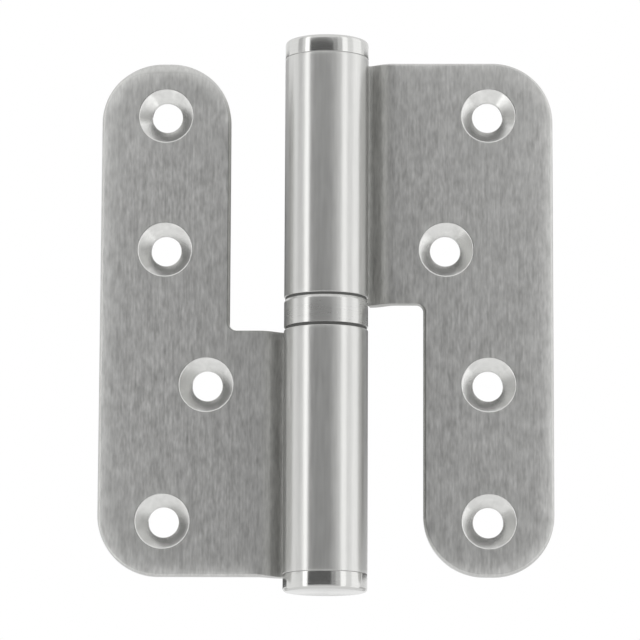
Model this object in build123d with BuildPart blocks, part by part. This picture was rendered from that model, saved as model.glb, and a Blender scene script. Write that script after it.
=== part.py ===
from build123d import *
from math import asin, cos, degrees, radians, sin
import os

# A stainless lift-off hinge, opened flat. +Z is up along the pin, +X runs from the lower half's
# leaf to the upper half's, and the countersunk faces and the barrel's front look along -Y.
# The origin is on the pin's axis at the middle of the bearing ring.

# Leaf: one strip of sheet, punched to an L, cranked and rolled
leaf_height = 110
leaf_reach = 48  # pin's axis to a leaf's outer edge
leaf_thickness = 3
leaf_setback = 3  # pin's axis back to a leaf's countersunk face
arm_width = 27.5
arm_tip_flat = 1.9  # the straight that is left between the rounded corners of an arm's end
notch_corner_radius = 1.5
step_height = 2.9  # middle of the hinge to a leaf's step
knuckle_relief = 0.55  # how much shorter than the leaf the knuckle is at the ring
relief_clearance = 0.15  # the relief ends this far outside the barrel
face_edge_break = 0.5  # what the punch and the belt take off round the countersunk face
back_edge_break = 0.2  # and round the back, which becomes the barrel's outside

# Crank and roll
crank_start = 14.8  # pin's axis to where the leaf starts to bend back
crank_angle = 38
bend_inside_radius = 2.5
roll_mouth_gap = 0.15  # between the roll's free end and the sheet that it meets

# Screw holes
screw_hole_diameter = 6.4
countersink_diameter = 11.5
countersink_angle = 90
screw_pitch = 29
inner_screw_shift = 9  # how far the knuckle-side hole stands in from the others' line

# Pin, ring and caps
pin_diameter = 11.6
running_clearance = 0.05  # on the radius, pin to ring and pin to upper knuckle
press_interference = 0.02  # on the radius, pin and cap spigots in the rolled bore
pin_engagement = 38  # how far the pin stands up out of the ring
pin_lead_length = 2.5
pin_lead_width = 1
pin_foot_chamfer = 0.5
ring_rim_length = 5.7  # what shows between the two dark grooves
ring_rim_chamfer = 0.2
ring_bore_chamfer = 0.3
ring_seat_width = 1.4  # the raised seats at the bore that the knuckles bear on
cap_thickness = 3.7
cap_rim_chamfer = 0.7
cap_seam_chamfer = 0.25
spigot_length = 6
spigot_chamfer = 0.5
pin_to_spigot_gap = 1

# Sizes that follow from these
outer_corner_radius = (arm_width - arm_tip_flat) / 2
half_height = leaf_height / 2
half_ring = step_height + knuckle_relief
ring_length = 2 * half_ring
leaf_step_length = half_height - step_height
knuckle_length = half_height - half_ring
pin_radius = pin_diameter / 2
bore_radius = pin_radius + running_clearance
press_radius = bore_radius + press_interference
barrel_radius = bore_radius + leaf_thickness
sheet_line_setback = leaf_setback + leaf_thickness / 2
roll_line_radius = bore_radius + leaf_thickness / 2
bend_line_radius = bend_inside_radius + leaf_thickness / 2
relief_start = barrel_radius + relief_clearance
crank_depth = roll_line_radius - sheet_line_setback
bend_rise = bend_line_radius * (1 - cos(radians(crank_angle)))
slope_length = (crank_depth - 2 * bend_rise) / sin(radians(crank_angle))
roll_angle = 270 + degrees(asin((bore_radius - roll_mouth_gap) / barrel_radius))
pin_foot = -half_height + spigot_length + pin_to_spigot_gap
pressed_length = -half_ring - pin_foot
screw_line = leaf_reach - arm_width / 2  # down the middle of the arm
screw_points = [
    (-screw_line, screw_pitch * 3 / 2),
    (-screw_line, screw_pitch / 2),
    (-(screw_line - inner_screw_shift), -screw_pitch / 2),
    (-screw_line, -screw_pitch * 3 / 2),
]

os.makedirs("parts", exist_ok=True)

# Lower leaf: the cranked and rolled strip, cut to the L of the punched blank
with BuildPart() as lower_leaf:
    with BuildSketch(Plane.XY.offset(-half_height)):
        with BuildLine():
            flat = Line((-leaf_reach, sheet_line_setback), (-crank_start, sheet_line_setback))
            first_bend = JernArc(flat @ 1, flat % 1, bend_line_radius, crank_angle)
            slope = Line(first_bend @ 1, first_bend @ 1 + (first_bend % 1) * slope_length)
            second_bend = JernArc(slope @ 1, slope % 1, bend_line_radius, -crank_angle)
            run_in = Line(second_bend @ 1, (0, roll_line_radius))
            JernArc(run_in @ 1, run_in % 1, roll_line_radius, -roll_angle)
        trace(line_width=leaf_thickness)
    extrude(amount=leaf_height)

    with BuildSketch(Plane.XZ) as outline:
        with Locations((-leaf_reach, -half_height)):
            Rectangle(leaf_reach + barrel_radius, knuckle_length, align=Align.MIN)
            Rectangle(leaf_reach - relief_start, leaf_step_length, align=Align.MIN)
            Rectangle(arm_width, leaf_height, align=Align.MIN)
        by_side = outline.vertices().group_by(Axis.X)
        notch_corner, tip_corner = by_side[1].sort_by(Axis.Y)
        fillet(by_side[0] + [tip_corner], outer_corner_radius)
        fillet(outline.vertices().sort_by_distance(notch_corner)[0], notch_corner_radius)
    extrude(amount=2 * barrel_radius, both=True, mode=Mode.INTERSECT)

    plate_faces = lower_leaf.faces().filter_by(Axis.Y).group_by(SortBy.AREA)[-1]
    countersunk_face, back_face = plate_faces.sort_by(Axis.Y)
    back_rim = back_face.edges().sort_by(Axis.X)[:-1]
    chamfer(countersunk_face.edges().sort_by(Axis.X)[:-1], face_edge_break)
    chamfer(back_rim, back_edge_break)

    with Locations(Plane.XZ.offset(-leaf_setback)):
        with Locations(*screw_points):
            CounterSinkHole(
                screw_hole_diameter / 2,
                countersink_diameter / 2,
                counter_sink_angle=countersink_angle,
            )
lower_leaf.part.label = "lower_leaf"
export_step(lower_leaf.part, "parts/lower_leaf.step")

# Upper leaf: the same pressing, turned half a turn in its own plane
with BuildPart() as upper_leaf:
    add(lower_leaf.part.rotate(Axis.Y, 180))
upper_leaf.part.label = "upper_leaf"
export_step(upper_leaf.part, "parts/upper_leaf.step")

# Hinge pin: a thicker foot pressed into the lower knuckle, and a running length with a lead
with BuildPart() as hinge_pin:
    with BuildSketch(Plane.XY.offset(pin_foot)):
        Circle(press_radius)
    extrude(amount=pressed_length)
    foot_rim = hinge_pin.faces().sort_by(Axis.Z)[0].edges()
    chamfer(foot_rim, pin_foot_chamfer)
    with BuildSketch(Plane.XY.offset(-half_ring)):
        Circle(pin_radius)
    extrude(amount=ring_length + pin_engagement)
    chamfer(hinge_pin.edges().sort_by(Axis.Z)[-1], pin_lead_length, pin_lead_width)
hinge_pin.part.label = "hinge_pin"
export_step(hinge_pin.part, "parts/hinge_pin.step")

# Bearing ring: loose on the pin. The knuckles bear on its raised seats, so a groove shows between
# its rim and each of them
with BuildPart() as bearing_ring:
    for radius, length in (
        (bore_radius + ring_seat_width, ring_length),
        (barrel_radius, ring_rim_length),
    ):
        with BuildSketch(Plane.XY.offset(-length / 2)):
            Circle(radius)
            Circle(bore_radius, mode=Mode.SUBTRACT)
        extrude(amount=length)
    rims = bearing_ring.edges().filter_by(GeomType.CIRCLE).group_by(SortBy.RADIUS)
    chamfer(rims[-1], ring_rim_chamfer)
    chamfer(rims[0], ring_bore_chamfer)
bearing_ring.part.label = "bearing_ring"
export_step(bearing_ring.part, "parts/bearing_ring.step")

# Caps: a disc as wide as the barrel on a spigot that is pressed into the rolled bore
with BuildPart() as upper_cap:
    with BuildSketch(Plane.XY.offset(half_height)):
        Circle(barrel_radius)
    extrude(amount=cap_thickness)
    seam_rim = upper_cap.edges().sort_by(Axis.Z)[0]
    outer_rim = upper_cap.edges().sort_by(Axis.Z)[-1]
    chamfer(seam_rim, cap_seam_chamfer)
    chamfer(outer_rim, cap_rim_chamfer)
    with BuildSketch(Plane.XY.offset(half_height)):
        Circle(press_radius)
    extrude(amount=-spigot_length)
    chamfer(upper_cap.edges().sort_by(Axis.Z)[0], spigot_chamfer)
upper_cap.part.label = "upper_cap"
export_step(upper_cap.part, "parts/upper_cap.step")

with BuildPart() as lower_cap:
    add(upper_cap.part.rotate(Axis.Y, 180))
lower_cap.part.label = "lower_cap"
export_step(lower_cap.part, "parts/lower_cap.step")
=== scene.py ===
"""A stainless lift-off door hinge, opened flat: its visible pieces, fitted round the CAD frame.

The pin's axis is z, and the middle of the bearing ring is the origin. The lower half's leaf
reaches to -x, and the countersunk faces look to -y. Lengths are millimetres until a mesh is
made; the stage and the camera are in metres.
"""

import math

import bmesh
import bpy
import numpy as np
from mathutils import Matrix, Vector


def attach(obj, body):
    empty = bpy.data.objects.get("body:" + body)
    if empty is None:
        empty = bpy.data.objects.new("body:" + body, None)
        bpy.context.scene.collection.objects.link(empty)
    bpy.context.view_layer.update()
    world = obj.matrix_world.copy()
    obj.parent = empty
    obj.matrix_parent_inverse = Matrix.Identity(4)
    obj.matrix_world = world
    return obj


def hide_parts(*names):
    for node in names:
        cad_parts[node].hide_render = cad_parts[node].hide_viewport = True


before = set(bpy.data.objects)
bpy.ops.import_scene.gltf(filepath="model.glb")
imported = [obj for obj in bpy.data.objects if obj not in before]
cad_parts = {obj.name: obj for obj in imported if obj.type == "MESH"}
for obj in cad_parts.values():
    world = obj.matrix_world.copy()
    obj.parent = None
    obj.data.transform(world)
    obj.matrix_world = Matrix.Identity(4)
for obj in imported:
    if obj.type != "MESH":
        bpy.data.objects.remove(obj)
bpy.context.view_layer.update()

MM = 0.001

# ---------------------------------------------------------------- sizes shared with the solids
LEAF_REACH = 48.0  # pin's axis to a leaf's outer edge
SHEET = 3.0  # thickness of the strip
LINE_SETBACK = 4.5  # pin's axis back to the middle of the flat sheet
ARM_WIDTH = 27.5  # the part of a leaf that stands beside the other half's knuckle
ARM_SIDE = LEAF_REACH - ARM_WIDTH  # pin's axis to the arm's side in the notch
HALF_HEIGHT = 55.0  # middle of the hinge to a leaf's end
STEP_HEIGHT = 2.9  # middle of the hinge to a leaf's step
KNUCKLE_RELIEF = 0.55  # how much shorter than the leaf the knuckle is at the ring
RELIEF_START = 9.0  # pin's axis to where the relief ends
CORNER_RADIUS = 12.8
NOTCH_RADIUS = 1.5
CRANK_START = 14.8  # pin's axis to where the flat leaf begins to bend
CRANK_ANGLE = math.radians(38)
BEND_LINE_RADIUS = 4.0  # of the sheet's middle line in the crank's two bends
ROLL_LINE_RADIUS = 7.35  # of the middle line in the rolled knuckle
MOUTH_GAP = 0.15  # between the roll's end and the sheet it closes on
BARREL_RADIUS = ROLL_LINE_RADIUS + SHEET / 2
BORE_RADIUS = ROLL_LINE_RADIUS - SHEET / 2
HOLE_RADIUS = 3.2
SINK_RADIUS = 5.75
SCREWS = [(34.25, 43.5), (34.25, 14.5), (25.25, -14.5), (34.25, -43.5)]  # (from the pin, height)

# ---------------------------------------------------------------- sizes of the finish alone
FACE_BREAK = 0.6  # width of the rounding round the countersunk face
BACK_BREAK = 0.2
TIP_BREAK = 2.2  # the belt takes more off the end of the lower leaf's arm
BREAK_DEPTH = 1.1  # the deepest that a rounding goes into the sheet
BREAK_POWER = 2.6  # of its curve, between a circle's 2 and a square corner
EDGE_MIDDLE = 2.2  # a row of the edge between its two roundings, as a depth
ROLL_OVER = 0.34  # how far the face falls away towards the outer edges
ROLL_OVER_REACH = 3.6
UPWARD_BREAK = 0.2  # of a knuckle's end or a step that faces up
DOWNWARD_BREAK = 0.05  # and of one that faces down, which is left as cut
# How each leaf was finished: the breaks of the knuckle's end at the ring and under the cap, the
# width of the break on the arm's end, and how much of the roll-over the foot has.
LOWER_FINISH = (UPWARD_BREAK, DOWNWARD_BREAK, TIP_BREAK, 1.0)
UPPER_FINISH = (DOWNWARD_BREAK, UPWARD_BREAK, FACE_BREAK, 0.3)
SINK_LEAN = math.tan(math.radians(5))  # the countersinks lean a little towards the outer edge
SINK_SLOPE = math.tan(math.radians(49))  # radius lost per depth, for the finished cone
SINK_MIDDLE = 1.3  # depth at which a leaning countersink is on its centre
SINK_LIP = 0.08  # depth of the small curve between the face and the cone


# ---------------------------------------------------------------- mesh helpers
SHARP = math.radians(32)  # two faces that meet at more than this have a hard edge


def piece(name, patches, body, replaced, materials):
    """One closed piece from patches of (points, quads, uv, material index), its doubles merged.

    Points are an (n, 3) array in mm, quads an (m, 4) array of indices, uv an (n, 2) array in mm
    along the surface, and the index one number or one for each quad.
    """
    points, quads, uvs, kinds, start = [], [], [], [], 0
    for pts, faces, uv, kind in patches:
        points.append(pts)
        uvs.append(uv)
        quads.append(faces + start)
        kinds.append(np.full(len(faces), kind))
        start += len(pts)
    points, quads = np.concatenate(points) * MM, np.concatenate(quads)
    uvs, kinds = np.concatenate(uvs), np.concatenate(kinds)
    mesh = bpy.data.meshes.new(name)
    mesh.from_pydata(points.tolist(), [], quads.tolist())
    layer = mesh.uv_layers.new(name="unrolled")
    corner = np.empty(len(mesh.loops), int)
    mesh.loops.foreach_get("vertex_index", corner)
    layer.data.foreach_set("uv", (uvs[corner] * MM).ravel())
    mesh.polygons.foreach_set("material_index", kinds.astype(np.int32))
    for material in materials:
        mesh.materials.append(material)
    bm = bmesh.new()
    bm.from_mesh(mesh)
    bmesh.ops.remove_doubles(bm, verts=bm.verts, dist=1e-6)
    bmesh.ops.dissolve_degenerate(bm, dist=1e-7, edges=bm.edges)
    bmesh.ops.recalc_face_normals(bm, faces=bm.faces)
    bm.to_mesh(mesh)
    bm.free()
    mesh.polygons.foreach_set("use_smooth", np.ones(len(mesh.polygons), bool))
    mesh.set_sharp_from_angle(angle=SHARP)
    obj = bpy.data.objects.new(name, mesh)
    bpy.context.scene.collection.objects.link(obj)
    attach(obj, body)
    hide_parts(replaced)
    return obj


def grid_faces(rows, columns, closed=False):
    """Quads of a rows x columns grid of points; closed joins the last column to the first."""
    index = np.arange(rows * columns).reshape(rows, columns)
    if closed:
        index = np.concatenate([index, index[:, :1]], axis=1)
    return np.stack(
        [index[:-1, :-1], index[:-1, 1:], index[1:, 1:], index[1:, :-1]], axis=-1
    ).reshape(-1, 4)


# ---------------------------------------------------------------- the leaf's strip, unrolled
BEND_LENGTH = BEND_LINE_RADIUS * CRANK_ANGLE
CRANK_DEPTH = ROLL_LINE_RADIUS - LINE_SETBACK
SLOPE = (CRANK_DEPTH - 2 * BEND_LINE_RADIUS * (1 - math.cos(CRANK_ANGLE))) / math.sin(CRANK_ANGLE)
RUN_IN = (CRANK_START - 2 * BEND_LINE_RADIUS * math.sin(CRANK_ANGLE)
          - SLOPE * math.cos(CRANK_ANGLE))
ROLL_ANGLE = math.radians(270) + math.asin((BORE_RADIUS - MOUTH_GAP) / BARREL_RADIUS)
STRIP_RUNS = [  # length along the middle line, and curvature
    (LEAF_REACH - CRANK_START, 0.0),
    (BEND_LENGTH, 1 / BEND_LINE_RADIUS),
    (SLOPE, 0.0),
    (BEND_LENGTH, -1 / BEND_LINE_RADIUS),
    (RUN_IN, 0.0),
    (ROLL_LINE_RADIUS * ROLL_ANGLE, -1 / ROLL_LINE_RADIUS),
]
FLAT_END = STRIP_RUNS[0][0]
CRANK_END = sum(length for length, _ in STRIP_RUNS[:4])
STRIP_END = sum(length for length, _ in STRIP_RUNS)
RELIEF_S = CRANK_END - BEND_LINE_RADIUS * math.asin((RELIEF_START - RUN_IN) / BEND_LINE_RADIUS)


SLICE = 4000


def roll_over(s, z, foot_share):
    """How far the punch and the belt have drawn the face down near the outer edges, in mm.

    It is ROLL_OVER times the square of (1 - distance from the edge / ROLL_OVER_REACH). The foot
    has only foot_share of it, and along the foot's corner the share grows to 1. The notch has
    none. The distances are taken in slices of the points, to keep their table small.
    """
    place = np.stack([s, z], axis=-1)
    at_notch = (OUTLINE[:, 0] > ARM_WIDTH - 0.1) & (OUTLINE[:, 1] > STEP_Z - 0.1)
    edge = OUTLINE[(OUTLINE[:, 0] < FLAT_END - 1) & ~at_notch]
    share = 1 - (1 - foot_share) * np.clip(-edge[:, 3], 0, 1)
    near, most = np.empty(len(place)), np.empty(len(place))
    for first in range(0, len(place), SLICE):
        part = slice(first, first + SLICE)
        away = ((place[part, None] - edge[None, :, :2]) ** 2).sum(-1)
        nearest = away.argmin(1)
        near[part] = np.sqrt(away[np.arange(len(away)), nearest])
        most[part] = share[nearest]
    return ROLL_OVER * most * np.clip(1 - near / ROLL_OVER_REACH, 0, 1) ** 2


def bend_strip(s, z, depth, foot_share):
    """Points of the strip in space, for the lower leaf.

    s runs along the middle line from the outer edge, z is the height, and depth is 0 on the
    countersunk face and 3 on the back. The line is straight runs and arcs end to end: heading
    grows by curvature times length, and the place is the integral of (cos, sin) of the heading.
    """
    x, y, heading, start = -LEAF_REACH, LINE_SETBACK, 0.0, 0.0
    line_x, line_y, angle = np.zeros_like(s), np.zeros_like(s), np.zeros_like(s)
    for length, curve in STRIP_RUNS:
        for t, target in ((s - start, s >= start - 1e-9), (length, None)):
            if curve:
                turned = heading + curve * t
                here_x = x + (np.sin(turned) - math.sin(heading)) / curve
                here_y = y - (np.cos(turned) - math.cos(heading)) / curve
            else:
                turned = heading + 0 * t
                here_x, here_y = x + t * math.cos(heading), y + t * math.sin(heading)
            if target is not None:
                line_x = np.where(target, here_x, line_x)
                line_y = np.where(target, here_y, line_y)
                angle = np.where(target, turned, angle)
        x, y, heading, start = float(here_x), float(here_y), float(turned), start + length
    depth = depth + roll_over(s, z, foot_share) * (1 - depth / SHEET)
    offset = depth - SHEET / 2
    return np.stack([
        line_x - offset * np.sin(angle), line_y + offset * np.cos(angle), z,
    ], axis=-1)


# An edge of the blank is an (n, 4) array: s, z and the outward direction, without its last
# point, which is the next edge's first.
def straight(start, end, outward, step=0.8):
    """Evenly spaced points from start towards end."""
    start, end = np.array(start, float), np.array(end, float)
    n = max(2, int(round(np.linalg.norm(end - start) / step)))
    t = np.arange(n)[:, None] / n
    return np.hstack([start + (end - start) * t, np.tile(np.array(outward, float), (n, 1))])


def corner(centre, radius, first, last, sign=1, n=28):
    """Points of an arc about centre from angle first towards last, in degrees."""
    a = np.radians(first + (last - first) * np.arange(n) / n)
    way = np.stack([np.cos(a), np.sin(a)], axis=-1)
    return np.hstack([np.array(centre) + radius * way, sign * way])


def back_along(edge, end):
    """The same edge walked from its end back, as the block on its other side meets it."""
    full = np.vstack([edge[:, :2], [end]])[::-1]
    return np.hstack([full[:-1], np.zeros((len(edge), 2))])


# The blank's edges, walked the same way round. The four blocks round the holes lie above one
# another, a to d from the top, and the fold is where the flat leaf passes into the crank.
R, H, A = CORNER_RADIUS, HALF_HEIGHT, ARM_WIDTH
STEP_Z = -STEP_HEIGHT
RELIEF_Z = STEP_Z - KNUCKLE_RELIEF
RELIEF_ROW = RELIEF_Z - UPWARD_BREAK  # a row of the mesh that ends at the relief's corner
NOTCH_Z = STEP_Z + NOTCH_RADIUS
CUT_1, CUT_2, CUT_3 = 29.0, NOTCH_Z, -29.0  # where the four blocks round the holes meet
LEFT, RIGHT, UP, DOWN, NONE = (-1, 0), (1, 0), (0, 1), (0, -1), (0, 0)

outer_a = straight((0, H - R), (0, CUT_1), LEFT)
outer_b = straight((0, CUT_1), (0, CUT_2), LEFT)
outer_c = straight((0, CUT_2), (0, CUT_3), LEFT)
outer_d = straight((0, CUT_3), (0, R - H), LEFT)
foot_arc = corner((R, R - H), R, 180, 270)
foot_line = straight((R, -H), (FLAT_END, -H), DOWN)
step_line = straight((FLAT_END, STEP_Z), (A + NOTCH_RADIUS, STEP_Z), UP)
notch_arc = corner((A + NOTCH_RADIUS, NOTCH_Z), NOTCH_RADIUS, 270, 180, sign=-1, n=8)
inner_b = straight((A, CUT_2), (A, CUT_1), RIGHT)
inner_a = straight((A, CUT_1), (A, H - R), RIGHT)
tip_arc_in = corner((A - R, H - R), R, 0, 90)
tip_line = straight((A - R, H), (R, H), UP)
tip_arc_out = corner((R, H - R), R, 90, 180)

cut_1 = straight((0, CUT_1), (A, CUT_1), NONE)
cut_2 = straight((0, CUT_2), (A, CUT_2), NONE)
cut_3 = straight((0, CUT_3), (FLAT_END, CUT_3), NONE)
fold_d = straight((FLAT_END, -H), (FLAT_END, CUT_3), NONE)
fold_c = np.vstack([
    straight((FLAT_END, CUT_3), (FLAT_END, RELIEF_ROW), NONE),
    [(FLAT_END, RELIEF_ROW, 0, 0)],
])

bend_2 = FLAT_END + BEND_LENGTH + SLOPE
crank_s = np.concatenate([
    np.linspace(FLAT_END, FLAT_END + BEND_LENGTH, 16)[:-1],
    np.linspace(FLAT_END + BEND_LENGTH, bend_2, 5)[:-1],
    np.linspace(bend_2, RELIEF_S, 13),
])
knuckle_s = np.concatenate([
    np.linspace(RELIEF_S, CRANK_END, 5)[:-1],
    np.linspace(CRANK_END, CRANK_END + RUN_IN, 9)[:-1],
    np.linspace(CRANK_END + RUN_IN, STRIP_END, 186),
])
crank_z = np.concatenate([fold_d[:, 1], fold_c[:, 1], [STEP_Z]])
knuckle_z = np.append(crank_z[:-2], RELIEF_Z)


def along_s(places, z, outward):
    """An edge of the knuckle's end, at one height."""
    return np.column_stack([
        places, np.full(len(places), z), np.tile(outward, (len(places), 1)),
    ])


knuckle_foot = along_s(np.concatenate([crank_s[:-1], knuckle_s[:-1]]), -H, DOWN)
mouth = np.column_stack([
    np.full(len(knuckle_z) - 1, STRIP_END), knuckle_z[:-1],
    np.tile(RIGHT, (len(knuckle_z) - 1, 1)),
])
knuckle_top = along_s(knuckle_s[::-1], RELIEF_Z, UP)
crank_top = along_s(crank_s[:0:-1], STEP_Z, UP)
# At a corner without a radius, the rim goes out both ways.
mouth[0, 2:] = (1, -1)
knuckle_top[0, 2:] = knuckle_top[-1, 2:] = (1, 1)
crank_top[0, 2:] = (1, 1)


def carry(border, place, outward):
    """Sets the rim's direction at one named point of a border."""
    hit = np.hypot(border[:, 0] - place[0], border[:, 1] - place[1]) < 1e-6
    border[hit, 2:] = outward
    return border


BLOCKS = [  # a hole's place, and the border of its block
    (SCREWS[0], [outer_a, cut_1, inner_a, tip_arc_in, tip_line, tip_arc_out]),
    (SCREWS[1], [outer_b, cut_2, inner_b, back_along(cut_1, (A, CUT_1))]),
    (SCREWS[2], [outer_c, cut_3, fold_c, step_line, notch_arc, back_along(cut_2, (A, CUT_2))]),
    (SCREWS[3], [outer_d, foot_arc, foot_line, fold_d, back_along(cut_3, (FLAT_END, CUT_3))]),
]
RIM_JUNCTIONS = [  # places where a border between blocks starts on the rim
    ((0, CUT_1), LEFT), ((0, CUT_2), LEFT), ((0, CUT_3), LEFT),
    ((A, CUT_1), RIGHT), ((A, CUT_2), RIGHT),
    ((FLAT_END, STEP_Z), UP), ((FLAT_END, -H), DOWN),
]
OUTLINE = np.vstack([
    outer_a, outer_b, outer_c, outer_d, foot_arc, foot_line, knuckle_foot, mouth, knuckle_top,
    crank_top, step_line, notch_arc, inner_b, inner_a, tip_arc_in, tip_line, tip_arc_out,
])


def rim_inset(border, ring_end, cap_end, tip):
    """How far the countersunk face stops short of the blank's edge.

    It is FACE_BREAK, grown to tip at the arm's end by the sixth power of how squarely the edge
    faces up, so that it fades along the corners. It passes to ring_end along the step, up the
    notch's corner, and to ring_end and cap_end on the knuckle's ends, 4 mm past the fold.
    """
    s, z = border[:, 0], border[:, 1]
    at_tip = (z > H - R) * np.clip(border[:, 3], 0, 1) ** 6
    in_notch = (s > ARM_WIDTH - 0.1) & (z > STEP_Z - 0.1)
    off_step = np.clip((z - STEP_Z) / NOTCH_RADIUS, 0, 1)
    plain = np.where(in_notch, ring_end + (FACE_BREAK - ring_end) * off_step, FACE_BREAK)
    end_break = np.where(z < 0.01 - H, cap_end, ring_end)
    plain = plain + (end_break - plain) * np.clip((s - FLAT_END) / 4, 0, 1)
    return plain + (tip - FACE_BREAK) * at_tip


def hole_profile():
    """(radius, depth) from the countersunk face down the cone and the straight wall to the back.

    The cone loses SINK_SLOPE of radius per depth. Its lip is a quadratic curve from the face to
    SINK_LIP deep, and the wall's two ends are small breaks.
    """
    t = np.linspace(0, 1, 4)
    under_lip = SINK_RADIUS - SINK_LIP * SINK_SLOPE
    lip = np.stack([
        (1 - t) ** 2 * (SINK_RADIUS + 0.1) + 2 * t * (1 - t) * SINK_RADIUS + t**2 * under_lip,
        t**2 * SINK_LIP,
    ], axis=-1)
    foot = (SINK_RADIUS - HOLE_RADIUS) / SINK_SLOPE
    cone = np.array([0.14, 0.8, 1.6, foot - 0.1, foot - 0.05])
    return np.vstack([
        lip,
        np.column_stack([SINK_RADIUS - cone * SINK_SLOPE, cone]),
        [(HOLE_RADIUS, foot + 0.04), (HOLE_RADIUS, foot + 0.1), (HOLE_RADIUS, SHEET - 0.14),
         (HOLE_RADIUS + 0.02, SHEET - 0.05), (HOLE_RADIUS + 0.1, SHEET)],
    ])


LEAF_FACE, SINK_FACE, KNUCKLE_FACE, RIM_FACE = range(4)  # which finish a patch has
# Rows from a hole's rim to its block's border, as shares, close together where the face bends.
BLOCK_ROWS = np.array([
    0, 0.012, 0.05, 0.2, 0.4, 0.55, 0.68, 0.77, 0.84, 0.89, 0.93, 0.96, 0.985, 1.0,
])[:, None, None]


def block_patches(screw, edges, finish):
    """The two faces and the hole of one block.

    A face is a straight line from the hole's rim to the border at each point of the border, cut
    by BLOCK_ROWS. The hole is its profile carried round the same directions, and its centre
    moves with the depth by SINK_LEAN.
    """
    border = np.vstack(edges)
    for place, outward in RIM_JUNCTIONS:
        border = carry(border, place, outward)
    hole = hole_profile()
    centre = np.array([LEAF_REACH - screw[0], screw[1]])
    angle = np.arctan2(border[:, 1] - centre[1], border[:, 0] - centre[0])
    way = np.stack([np.cos(angle), np.sin(angle)], axis=-1)
    n, foot_share = len(border), finish[3]
    inset = rim_inset(border, *finish[:3])[:, None]
    patches = []
    for depth, reach, radius in ((0.0, inset, hole[0, 0]), (SHEET, BACK_BREAK, hole[-1, 0])):
        edge = border[:, :2] - reach * border[:, 2:]
        lean = np.array([SINK_LEAN * (depth - SINK_MIDDLE), 0])
        flat = (centre + lean + radius * way)[None] * (1 - BLOCK_ROWS) + edge[None] * BLOCK_ROWS
        flat = flat.reshape(-1, 2)
        points = bend_strip(flat[:, 0], flat[:, 1], np.full(len(flat), depth), foot_share)
        quads = grid_faces(len(BLOCK_ROWS), n, closed=True)
        patches.append((points, quads, flat, LEAF_FACE))
    wall = centre + hole[:, None, :1] * way[None]
    wall[:, :, 0] += SINK_LEAN * (hole[:, 1:] - SINK_MIDDLE)
    wall = wall.reshape(-1, 2)
    down = np.cumsum(np.hypot(*np.diff(hole, axis=0, prepend=hole[:1]).T))
    along = np.column_stack([np.repeat(down, n), np.tile(angle, len(hole))])
    points = bend_strip(wall[:, 0], wall[:, 1], np.repeat(hole[:, 1], n), foot_share)
    patches.append((points, grid_faces(len(hole), n, closed=True), along, SINK_FACE))
    return patches


def fold_patch(s, z, depth, kind, foot_share):
    """A grid of the strip at one depth."""
    flat = np.column_stack([s.ravel(), z.ravel()])
    points = bend_strip(flat[:, 0], flat[:, 1], np.full(len(flat), depth), foot_share)
    return points, grid_faces(*s.shape), flat, kind


def fold_patches(ring_end, cap_end, tip, foot_share):
    """The two faces of the crank and the roll: grids of s and z whose ends stop at the rim."""
    patches = []
    for depth, plain, foot in ((0.0, ring_end, cap_end), (SHEET, BACK_BREAK, BACK_BREAK)):
        ss, zz = np.meshgrid(crank_s, crank_z, indexing="ij")
        crank_foot = along_s(crank_s, -H, DOWN)
        zz[:, 0] += rim_inset(crank_foot, ring_end, cap_end, tip) if depth == 0 else plain
        zz[:, -1] -= plain
        ss[-1, -2:] -= plain
        zz[-1, -2] = RELIEF_Z - plain
        patches.append(fold_patch(ss, zz, depth, LEAF_FACE, foot_share))
        ss, zz = np.meshgrid(knuckle_s, knuckle_z, indexing="ij")
        zz[:, 0] += foot
        zz[:, -1] -= plain
        ss[-1, :] -= plain
        ss[-1, 0] += plain - foot
        ss[0, -1] -= plain
        first = np.searchsorted(knuckle_s, CRANK_END - 1e-6)  # the first row past the crank
        patches.append(fold_patch(ss[:first + 1], zz[:first + 1], depth, LEAF_FACE, foot_share))
        patches.append(fold_patch(ss[first:], zz[first:], depth, KNUCKLE_FACE, foot_share))
    return patches


def rim_patches(ring_end, cap_end, tip, foot_share):
    """The edge all round the blank: one profile of (inset, depth) carried along OUTLINE.

    The front rounding is the curve x^2 + y^BREAK_POWER = 1 between the face's inset and the
    edge, no deeper than BREAK_DEPTH, and the back one is a quarter circle of BACK_BREAK.
    """
    turn = np.linspace(0, math.pi / 2, 9)
    face = rim_inset(OUTLINE, ring_end, cap_end, tip)
    drop = np.minimum(face, BREAK_DEPTH)
    profile = [
        (face * (1 - math.sin(a)), drop * (1 - math.sqrt(1 - math.sin(a) ** BREAK_POWER)))
        for a in turn
    ]
    profile.append((np.zeros_like(face), np.full_like(face, EDGE_MIDDLE)))
    profile += [
        (np.full_like(face, BACK_BREAK * (1 - math.cos(a))),
         np.full_like(face, SHEET - BACK_BREAK + BACK_BREAK * math.sin(a)))
        for a in turn[::2]
    ]
    inset = np.array([p[0] for p in profile])
    depth = np.array([p[1] for p in profile])
    rim = OUTLINE[None, :, :2] - inset[:, :, None] * OUTLINE[None, :, 2:]
    spread = (rim + depth[:, :, None] * OUTLINE[None, :, 2:]).reshape(-1, 2)
    rim = rim.reshape(-1, 2)
    quads = grid_faces(len(profile), len(OUTLINE), closed=True)
    points = bend_strip(rim[:, 0], rim[:, 1], depth.ravel(), foot_share)
    on_leaf = np.tile(OUTLINE[:, 0] <= CRANK_END, len(profile) - 1)
    return [(points, quads[on_leaf], spread, RIM_FACE),
            (points, quads[~on_leaf], spread, KNUCKLE_FACE)]


def strip_patches(finish):
    """All patches of one leaf, as the lower leaf lies."""
    patches = []
    for screw, edges in BLOCKS:
        patches += block_patches(screw, edges, finish)
    return patches + fold_patches(*finish) + rim_patches(*finish)


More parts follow.
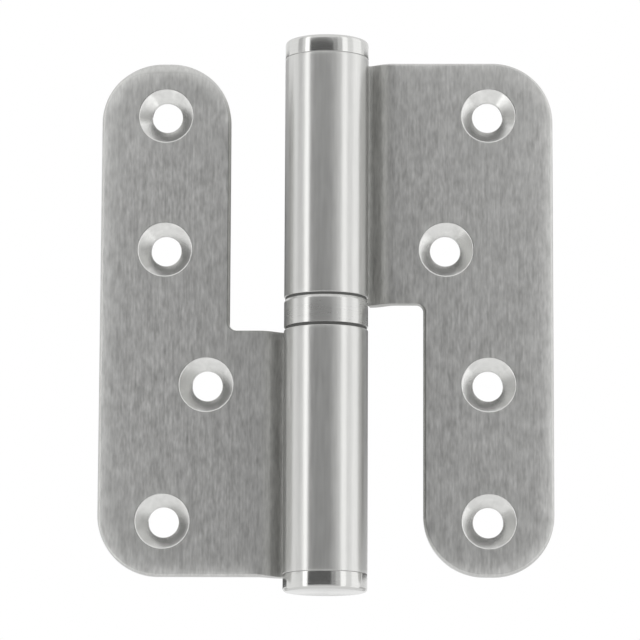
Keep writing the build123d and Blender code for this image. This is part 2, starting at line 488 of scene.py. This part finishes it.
# ---------------------------------------------------------------- turned pieces
def turned(profile, n=180):
    """A profile of (radius, height, rounding) carried round the pin's axis.

    Each corner is replaced by a small quadratic curve between the points that lie its rounding
    away on its two sides. A point is (radius cos a, radius sin a, height), with the radius and
    the height a function of the place along the profile.
    """
    profile = np.array(profile, float)
    profile, rounding = profile[:, :2], profile[:, 2]
    out = [profile[:1]]
    for i in range(1, len(profile) - 1):
        before, here, after = profile[i - 1], profile[i], profile[i + 1]
        r = rounding[i]
        a = here + (before - here) / np.linalg.norm(before - here) * r
        b = here + (after - here) / np.linalg.norm(after - here) * r
        t = np.linspace(0, 1, 6)[:, None]
        out += [(1 - t) ** 2 * a + 2 * t * (1 - t) * here + t**2 * b]
    out += [profile[-1:]]
    line = np.vstack(out)
    angle = np.linspace(0, 2 * math.pi, n, endpoint=False)
    radius, height = line[:, :1], np.repeat(line[:, 1:], n, axis=1)
    points = np.stack([radius * np.cos(angle), radius * np.sin(angle), height], axis=-1)
    along = np.cumsum(np.hypot(*np.diff(line, axis=0, prepend=line[:1]).T))
    uv = np.column_stack([np.repeat(along, n), np.tile(angle, len(line))])
    return points.reshape(-1, 3), grid_faces(len(line), n, closed=True), uv


# ---------------------------------------------------------------- materials
def linear(code):
    """A hex sRGB colour as linear RGBA."""
    c = np.array([int(code[i:i + 2], 16) for i in (1, 3, 5)]) / 255
    return (*np.where(c <= 0.04045, c / 12.92, ((c + 0.055) / 1.055) ** 2.4), 1.0)


def node(tree, kind, settings=None, inputs=None):
    """Adds one node. settings are its properties; inputs are values, or sockets to link."""
    new = tree.nodes.new(kind)
    for name, value in (settings or {}).items():
        setattr(new, name, value)
    for name, value in (inputs or {}).items():
        if isinstance(value, bpy.types.NodeSocket):
            tree.links.new(value, new.inputs[name])
        else:
            new.inputs[name].default_value = value
    return new


def new_material(name):
    """An empty node material and its tree."""
    material = bpy.data.materials.new(name)
    material.use_nodes = True
    material.node_tree.nodes.clear()
    return material, material.node_tree


# The noise keeps mostly between these values, so they are stretched to the full range.
TONE_LOW, TONE_HIGH = 0.32, 0.68
ROUGH_LOW, ROUGH_HIGH = 0.3, 0.7
# The painted shade in the notches is full up to the first place and gone at the second.
SHADE_ACROSS = ("X", ARM_SIDE + 1.0, ARM_SIDE + 3.0)
SHADE_ALONG = ("Z", HALF_HEIGHT - 15.0, HALF_HEIGHT - 5.0)


def steel(name, light, dark, roughness, spread, grain_mm, bump_mm, anisotropic, rotation=0.0,
          across=False, blotch_share=0.35, streak_share=0.0, notch_painted_shade=None):
    """Stainless steel with a directional finish, made of stretched noise.

    grain_mm is the grain's width and length; it runs along the pin, or lies round it where across
    is set. streak_share of it is a noise five times as long. blotch_share of the tone is a wider
    noise, where the belt or the wheel pressed more or less. The tone runs the colour from dark
    to light, and the roughness by spread either way. The grain alone tilts the surface, by
    bump_mm of height. notch_painted_shade multiplies the colour at the sides of the notches:
    painted shade for the barrel's shadow on the edges there.
    """
    material, tree = new_material(name)
    where = node(tree, "ShaderNodeTexCoord").outputs["Object"]
    width_mm, length_mm = grain_mm

    def noise(width, length, detail):
        size = (length, length, width) if across else (width, width, length)
        place = node(tree, "ShaderNodeMapping", None, {
            "Vector": where, "Scale": [1 / v / MM for v in size]})
        return node(tree, "ShaderNodeTexNoise", None, {
            "Vector": place.outputs[0], "Scale": 1.0, "Detail": detail, "Roughness": 0.5,
        }).outputs[0]

    grain = noise(width_mm, length_mm, 1.5)
    if streak_share:
        grain = node(tree, "ShaderNodeMix", {"data_type": "FLOAT"}, {
            0: streak_share, 2: grain, 3: noise(width_mm * 0.8, length_mm * 5, 1.0),
        }).outputs[0]
    tone = node(tree, "ShaderNodeMix", {"data_type": "FLOAT"}, {
        0: blotch_share, 2: grain, 3: noise(1.6, 3.5, 3.0)}).outputs[0]
    steps = node(tree, "ShaderNodeMapRange", None, {
        "Value": tone, "From Min": TONE_LOW, "From Max": TONE_HIGH}).outputs[0]
    colour = node(tree, "ShaderNodeMix", {"data_type": "RGBA"}, {
        0: steps, 6: linear(dark), 7: linear(light)}).outputs[2]
    # Painted shade: the colour is darkened at the sides of the notches, where the barrel shades
    # the arm's edge.
    if notch_painted_shade:
        share = 1.0
        for axis, full, none in (SHADE_ACROSS, SHADE_ALONG):
            apart = node(tree, "ShaderNodeSeparateXYZ", None, {0: where}).outputs[axis]
            apart = node(tree, "ShaderNodeMath", {"operation": "ABSOLUTE"}, {0: apart}).outputs[0]
            near = node(tree, "ShaderNodeMapRange", {"interpolation_type": "SMOOTHSTEP"}, {
                "Value": apart, "From Min": full * MM, "From Max": none * MM,
                "To Min": 1.0, "To Max": 0.0}).outputs[0]
            share = node(tree, "ShaderNodeMath", {"operation": "MULTIPLY"}, {
                0: share, 1: near}).outputs[0]
        colour = node(tree, "ShaderNodeMix", {"data_type": "RGBA", "blend_type": "MULTIPLY"}, {
            0: share, 6: colour, 7: linear(notch_painted_shade)}).outputs[2]
    rough = node(tree, "ShaderNodeMapRange", None, {
        "Value": tone, "From Min": ROUGH_LOW, "From Max": ROUGH_HIGH,
        "To Min": roughness - spread, "To Max": roughness + spread}).outputs[0]
    relief = node(tree, "ShaderNodeBump", None, {
        "Height": grain, "Strength": 1.0, "Distance": bump_mm * MM}).outputs[0]
    tangent = node(tree, "ShaderNodeTangent", {
        "direction_type": "UV_MAP", "uv_map": "unrolled"}).outputs[0]
    shader = node(tree, "ShaderNodeBsdfPrincipled", None, {
        "Base Color": colour, "Metallic": 1.0, "Roughness": rough, "Anisotropic": anisotropic,
        "Anisotropic Rotation": rotation, "Normal": relief, "Tangent": tangent})
    node(tree, "ShaderNodeOutputMaterial", None, {"Surface": shader.outputs[0]})
    return material


def plain(name, colour, roughness):
    """A material without a pattern."""
    material, tree = new_material(name)
    face = node(tree, "ShaderNodeBsdfPrincipled", None, {
        "Base Color": linear(colour), "Roughness": roughness})
    node(tree, "ShaderNodeOutputMaterial", None, {"Surface": face.outputs[0]})
    return material


# A pixel of the front view is 0.21 mm wide, so a scratch has to be some 0.5 mm wide to show.

# Stainless sheet, ground along the pin on a belt of about 240 grit: a matt mid grey with short
# upright streaks and no mirror image. Such grit leaves scratches about 0.03 mm wide, too fine to
# show, so they are drawn 0.5 mm wide and 2 mm long, with fainter ones of 10 mm among them.
leaf_steel = steel(
    "belt_brushed_stainless_leaf", "#E3E3E1", "#BFBFBD", 0.42, 0.045, (0.5, 2.0), 0.006, 0.5,
    blotch_share=0.4, streak_share=0.35)

# The punched edge of the same sheet, rounded over by the slack of the belt: smoother than the
# face, with hardly any direction. At the sides of the notches its colour is darkened, a painted
# shade for the barrel's shadow there. The grain is the face's, drawn as coarse.
rim_steel = steel(
    "belt_rounded_stainless_edge", "#D0D0CE", "#BEBEBC", 0.36, 0.03, (0.5, 2.0), 0.001, 0.2,
    notch_painted_shade="#D8D8D6")

# The rolled knuckle, polished with a wheel that ran round the barrel: a lamp is drawn out along
# the pin and stays sharp across it, so the barrel has clean upright stripes. What is left of the
# grain is drawn 0.5 mm wide and 9 mm long for real lines of about 0.02 mm, and very faint.
knuckle_steel = steel(
    "polished_stainless_knuckle", "#D0D0CE", "#C8C8C6", 0.31, 0.02, (0.5, 9.0), 0.0004, 0.8,
    rotation=0.25)

# Countersinks are cut after the belt: bright, even metal without grain, smoother than the face.
# The cutter's chatter, about 1 mm from mark to mark, is drawn 1.2 mm wide and very low.
sink_steel = steel(
    "drilled_stainless_countersink", "#E2E2E0", "#D8D8D6", 0.21, 0.01, (1.2, 1.2), 0.0002, 0.0)

# The bearing ring is turned from bar and polished in the lathe: fine lines lie round it, and a
# lamp is drawn out along the pin. A feed of 0.05 mm to the turn is too fine to show, so the lines
# are drawn 0.3 mm wide and 9 mm long.
ring_steel = steel(
    "turned_stainless_ring", "#CFCFCD", "#C8C8C6", 0.28, 0.02, (0.3, 9.0), 0.0001, 0.85,
    across=True)

# The caps are turned and then buffed nearly to a mirror: they hold the darkest and the brightest
# tones of the hinge. The lines are the ring's, drawn as coarse.
cap_steel = steel(
    "turned_polished_stainless_cap", "#CFCFCD", "#CACAC8", 0.15, 0.02, (0.3, 9.0), 0.0003, 0.5,
    across=True)

# The pin is ground between centres, a smooth and slightly soft shine. Its real lines, under
# 0.01 mm, are drawn 0.1 mm wide, since only a lifted hinge shows it.
pin_steel = steel(
    "ground_stainless_pin", "#CFCFCD", "#C6C6C4", 0.2, 0.03, (0.1, 9.0), 0.0006, 0.3,
    across=True)

# Painted shade for the shadow in the narrow slots over and under the ring: an even,
# nearly black line with a weak shine. It has no pattern.
groove_painted_shade = plain("dark_slot_painted_shade", "#4C4C4A", 0.55)

# ---------------------------------------------------------------- pieces
def turned_round(patches):
    """The same patches turned half a turn about the y axis, for the other half of the hinge."""
    return [(points * (-1, 1, -1), *rest) for points, *rest in patches]


leaf_materials = [leaf_steel, sink_steel, knuckle_steel, rim_steel]  # in the order of LEAF_FACE
piece("lower_leaf_sheet", strip_patches(LOWER_FINISH), "frame_half",
      "lower_leaf", leaf_materials)
piece("upper_leaf_sheet", turned_round(strip_patches(UPPER_FINISH)), "door_half",
      "upper_leaf", leaf_materials)

RING_END = -RELIEF_Z  # middle of the hinge to the ring's seats
RIM_END = 2.85  # and to the end of its rim
RIM_SHOULDER = 2.45  # where the upper edge of the rim begins to round over
RIM_TOP = 2.93  # and where it meets the slot's nearly black wall
BORE_LEAD = 0.3
SLOT_WALL_RADIUS = 8.6  # the slots over and under the ring go in to just inside its rim, and their wall here is painted nearly black as shade
ring_points, ring_quads, ring_uv = turned([
    (BORE_RADIUS, 0, 0.1), (BORE_RADIUS, BORE_LEAD - RING_END, 0.1),
    (BORE_RADIUS + BORE_LEAD, -RING_END, 0.1), (SLOT_WALL_RADIUS, -RING_END, 0.02),
    (SLOT_WALL_RADIUS, -RIM_END, 0.02), (BARREL_RADIUS, -RIM_END, 0.08),
    (BARREL_RADIUS, RIM_SHOULDER, 0.2), (SLOT_WALL_RADIUS, RIM_TOP, 0.02),
    (SLOT_WALL_RADIUS, RING_END, 0.02), (BORE_RADIUS + BORE_LEAD, RING_END, 0.1),
    (BORE_RADIUS, RING_END - BORE_LEAD, 0.1), (BORE_RADIUS, 0, 0.1),
])
# The slots' walls over and under the rim take the nearly black material: painted shade of the
# gaps beside the ring.
quad_middle = ring_points[ring_quads].mean(axis=1)
quad_radius, quad_height = np.hypot(quad_middle[:, 0], quad_middle[:, 1]), quad_middle[:, 2]
over_rim = (quad_radius > SLOT_WALL_RADIUS - 0.01) & (np.abs(quad_height) > RIM_TOP + 0.01)
under_rim = (np.abs(quad_radius - SLOT_WALL_RADIUS) < 0.01) & (quad_height < -RIM_END - 0.01)
painted_shade_quads = (over_rim | under_rim).astype(int)
piece("ring_turning", [(ring_points, ring_quads, ring_uv, painted_shade_quads)], "loose_ring",
      "bearing_ring", [ring_steel, groove_painted_shade])

PRESS_RADIUS = BORE_RADIUS + 0.02  # a pressed piece reaches a hair into the bore's wall
PRESS_LEAD = 0.5
CAP_END = HALF_HEIGHT + 3.7
SPIGOT_END = HALF_HEIGHT - 6.0
cap_patches = [(*turned([
    (0, SPIGOT_END, 0), (PRESS_RADIUS - PRESS_LEAD, SPIGOT_END, 0.1),
    (PRESS_RADIUS, SPIGOT_END + PRESS_LEAD, 0.2), (PRESS_RADIUS, HALF_HEIGHT, 0.05),
    (BARREL_RADIUS, HALF_HEIGHT, 0.12), (BARREL_RADIUS, CAP_END, 0.8), (0, CAP_END, 0),
]), 0)]
piece("upper_cap_turning", cap_patches, "door_half", "upper_cap",
      [cap_steel])
piece("lower_cap_turning", turned_round(cap_patches), "frame_half",
      "lower_cap", [cap_steel])

PIN_RADIUS = 5.8
PIN_FOOT = -48.0
PIN_TOP = RING_END + 38.0
PIN_LEAD, PIN_LEAD_LENGTH = 1.0, 2.5
piece("pin_turning", [(*turned([
    (0, PIN_FOOT, 0), (PRESS_RADIUS - PRESS_LEAD, PIN_FOOT, 0.1),
    (PRESS_RADIUS, PIN_FOOT + PRESS_LEAD, 0.2), (PRESS_RADIUS, -RING_END, 0.02),
    (PIN_RADIUS, -RING_END, 0.02), (PIN_RADIUS, PIN_TOP - PIN_LEAD_LENGTH, 0.3),
    (PIN_RADIUS - PIN_LEAD, PIN_TOP, 0.3), (0, PIN_TOP, 0),
]), 0)], "frame_half", "hinge_pin", [pin_steel])

# ---------------------------------------------------------------- stage
def glow_card(name, points, strength):
    """One four-cornered card that only reflections see."""
    mesh = bpy.data.meshes.new(name)
    mesh.from_pydata(np.array(points).tolist(), [], [(0, 1, 2, 3)])
    obj = bpy.data.objects.new(name, mesh)
    bpy.context.scene.collection.objects.link(obj)
    material, tree = new_material(name + "_cloth")
    glow = node(tree, "ShaderNodeEmission", None, {
        "Color": linear("#FFFFFF"), "Strength": strength})
    node(tree, "ShaderNodeOutputMaterial", None, {"Surface": glow.outputs[0]})
    mesh.materials.append(material)
    obj.visible_camera = False
    obj.visible_diffuse = False
    obj.visible_shadow = False
    obj.visible_transmission = False


SQUARE = np.array([(-1, -1), (1, -1), (1, 1), (-1, 1)])


def card(name, centre, half_width, half_height, strength):
    """An upright card facing the pin."""
    centre = np.array(centre, float)
    right = np.cross([0, 0, 1], -centre * (1, 1, 0) / np.linalg.norm(centre[:2]))
    across, over = SQUARE[:, :1] * right * half_width, SQUARE[:, 1:] * (0, 0, half_height)
    glow_card(name, centre + across + over, strength)


def level_card(name, centre, half_side, strength):
    """A level card under the hinge."""
    corners = np.column_stack([SQUARE, np.zeros(4)]) * half_side
    glow_card(name, np.array(centre) + corners, strength)


def around(azimuth, distance, height=0.0):
    """A place at an azimuth round the pin, 0 in front and 90 to the right, in metres."""
    a = math.radians(azimuth)
    return (math.sin(a) * distance, -math.cos(a) * distance, height)


# Polished steel shows the studio and not its own colour: dark flags in front give the barrel its
# grey middle, two softboxes its bright stripes, and the side cards the paler bands between. Each
# row is a name, first and last azimuth, distance, lowest and highest edge, and strength.
for name, first, last, distance, low, high, strength in (
    ("front_flag", -47, 18, 1.2, -0.16, 0.44, 0.145),
    ("front_grey", 18, 30, 1.2, -0.16, 0.50, 0.42),
    ("front_pale", 30, 43, 1.2, -0.16, 0.50, 0.72),
    ("right_softbox", 43, 58, 0.13, -0.12, 0.15, 1.5),
    ("right_side", 58, 78, 1.2, -0.7, 0.9, 1.05),
    ("right_rim", 78, 110, 1.2, -0.7, 0.9, 1.35),
    ("left_softbox", -60, -47, 0.13, -0.12, 0.15, 1.8),
    ("left_side", -71, -60, 1.2, -0.7, 0.9, 0.95),
    ("left_dim", -86, -71, 1.2, 0.17, 0.9, 0.66),
    ("left_low", -86, -71, 1.2, -0.7, 0.17, 1.05),
    ("left_back", -127, -86, 1.2, -0.7, 0.9, 1.1),
    ("back_flag_left", -180, -127, 1.2, 0.0, 0.28, 0.12),
    ("back_flag_right", 123, 180, 1.2, 0.07, 0.28, 0.12),
    ("back_foot", 150, 210, 1.2, -0.31, -0.03, 0.95),
):
    middle, half = (first + last) / 2, math.radians(last - first) / 2
    centre = around(middle, distance * math.cos(half), (low + high) / 2)
    card(name, centre, distance * math.sin(half), (high - low) / 2, strength)
level_card("under_glow", (0, -0.02, -0.3), 0.5, 0.95)

FLOOR_HALF, FLOOR_HEIGHT = 15.0, -0.8
floor_mesh = bpy.data.meshes.new("floor")
floor_corners = np.column_stack([SQUARE * FLOOR_HALF, np.full(4, FLOOR_HEIGHT)])
floor_mesh.from_pydata(floor_corners.tolist(), [], [(0, 1, 2, 3)])
floor = bpy.data.objects.new("floor", floor_mesh)
bpy.context.scene.collection.objects.link(floor)
# Matt white background paper: even and without shine, and it keeps the hinge's shadow.
floor_mesh.materials.append(plain("floor_paper", "#F2F2F2", 0.9))

# The world is plain white to the camera and in reflections, and a little lower as a light.
world = bpy.data.worlds.new("studio")
bpy.context.scene.world = world
world.use_nodes = True
studio = world.node_tree
studio.nodes.clear()
rays = node(studio, "ShaderNodeLightPath").outputs
seen = node(studio, "ShaderNodeMath", {"operation": "MAXIMUM"}, {
    0: rays["Is Camera Ray"], 1: rays["Is Glossy Ray"]}).outputs[0]
seen = node(studio, "ShaderNodeMath", {"operation": "MAXIMUM"}, {
    0: seen, 1: rays["Is Transmission Ray"]}).outputs[0]
level = node(studio, "ShaderNodeMapRange", None, {
    "Value": seen, "To Min": 0.7, "To Max": 1.0}).outputs[0]
sky = node(studio, "ShaderNodeBackground", None, {"Color": (1, 1, 1, 1), "Strength": level})
node(studio, "ShaderNodeOutputWorld", None, {"Surface": sky.outputs[0]})


def softbox(name, azimuth, height, distance, size, watts):
    """A square area lamp aimed at the hinge."""
    data = bpy.data.lights.new(name, "AREA")
    data.shape, data.size, data.energy = "SQUARE", size, watts
    lamp = bpy.data.objects.new(name, data)
    lamp.location = around(azimuth, distance, height)
    lamp.rotation_euler = (-Vector(lamp.location)).to_track_quat("-Z", "Y").to_euler()
    lamp.visible_glossy = False
    bpy.context.scene.collection.objects.link(lamp)


softbox("key_lamp", -45, 1.0, 1.4, 0.8, 8)
softbox("fill_lamp", 50, 0.8, 1.4, 0.8, 5)

# ---------------------------------------------------------------- camera
# The camera looks slightly up at the hinge, from nearly straight in front.
AZIMUTH, ELEVATION, ROLL = math.radians(1.2), math.radians(-9.45), math.radians(0.247)
DISTANCE, FOCAL_PIXELS = 0.860, 4079.0
PICTURE = 640
ORIGIN_PIXEL = (326.08, 314.6)  # where the middle of the ring falls in the picture

back = Vector((
    math.sin(AZIMUTH) * math.cos(ELEVATION),
    -math.cos(AZIMUTH) * math.cos(ELEVATION),
    math.sin(ELEVATION),
))
side = (-back).cross(Vector((0, 0, 1))).normalized()
over = side.cross(-back)
right = math.cos(ROLL) * side + math.sin(ROLL) * over
up = -math.sin(ROLL) * side + math.cos(ROLL) * over
per_pixel = DISTANCE / FOCAL_PIXELS
aim = ((PICTURE / 2 - ORIGIN_PIXEL[0]) * per_pixel * right
       + (ORIGIN_PIXEL[1] - PICTURE / 2) * per_pixel * up)
camera_data = bpy.data.cameras.new("camera")
camera_data.lens = FOCAL_PIXELS / PICTURE * camera_data.sensor_width
camera_data.clip_start, camera_data.clip_end = 0.01, 100
camera = bpy.data.objects.new("camera", camera_data)
bpy.context.scene.collection.objects.link(camera)
turn = Matrix((right, up, back)).transposed().to_4x4()
camera.matrix_world = Matrix.Translation(aim + back * DISTANCE) @ turn
bpy.context.scene.camera = camera

bpy.context.scene.view_settings.view_transform = "Standard"
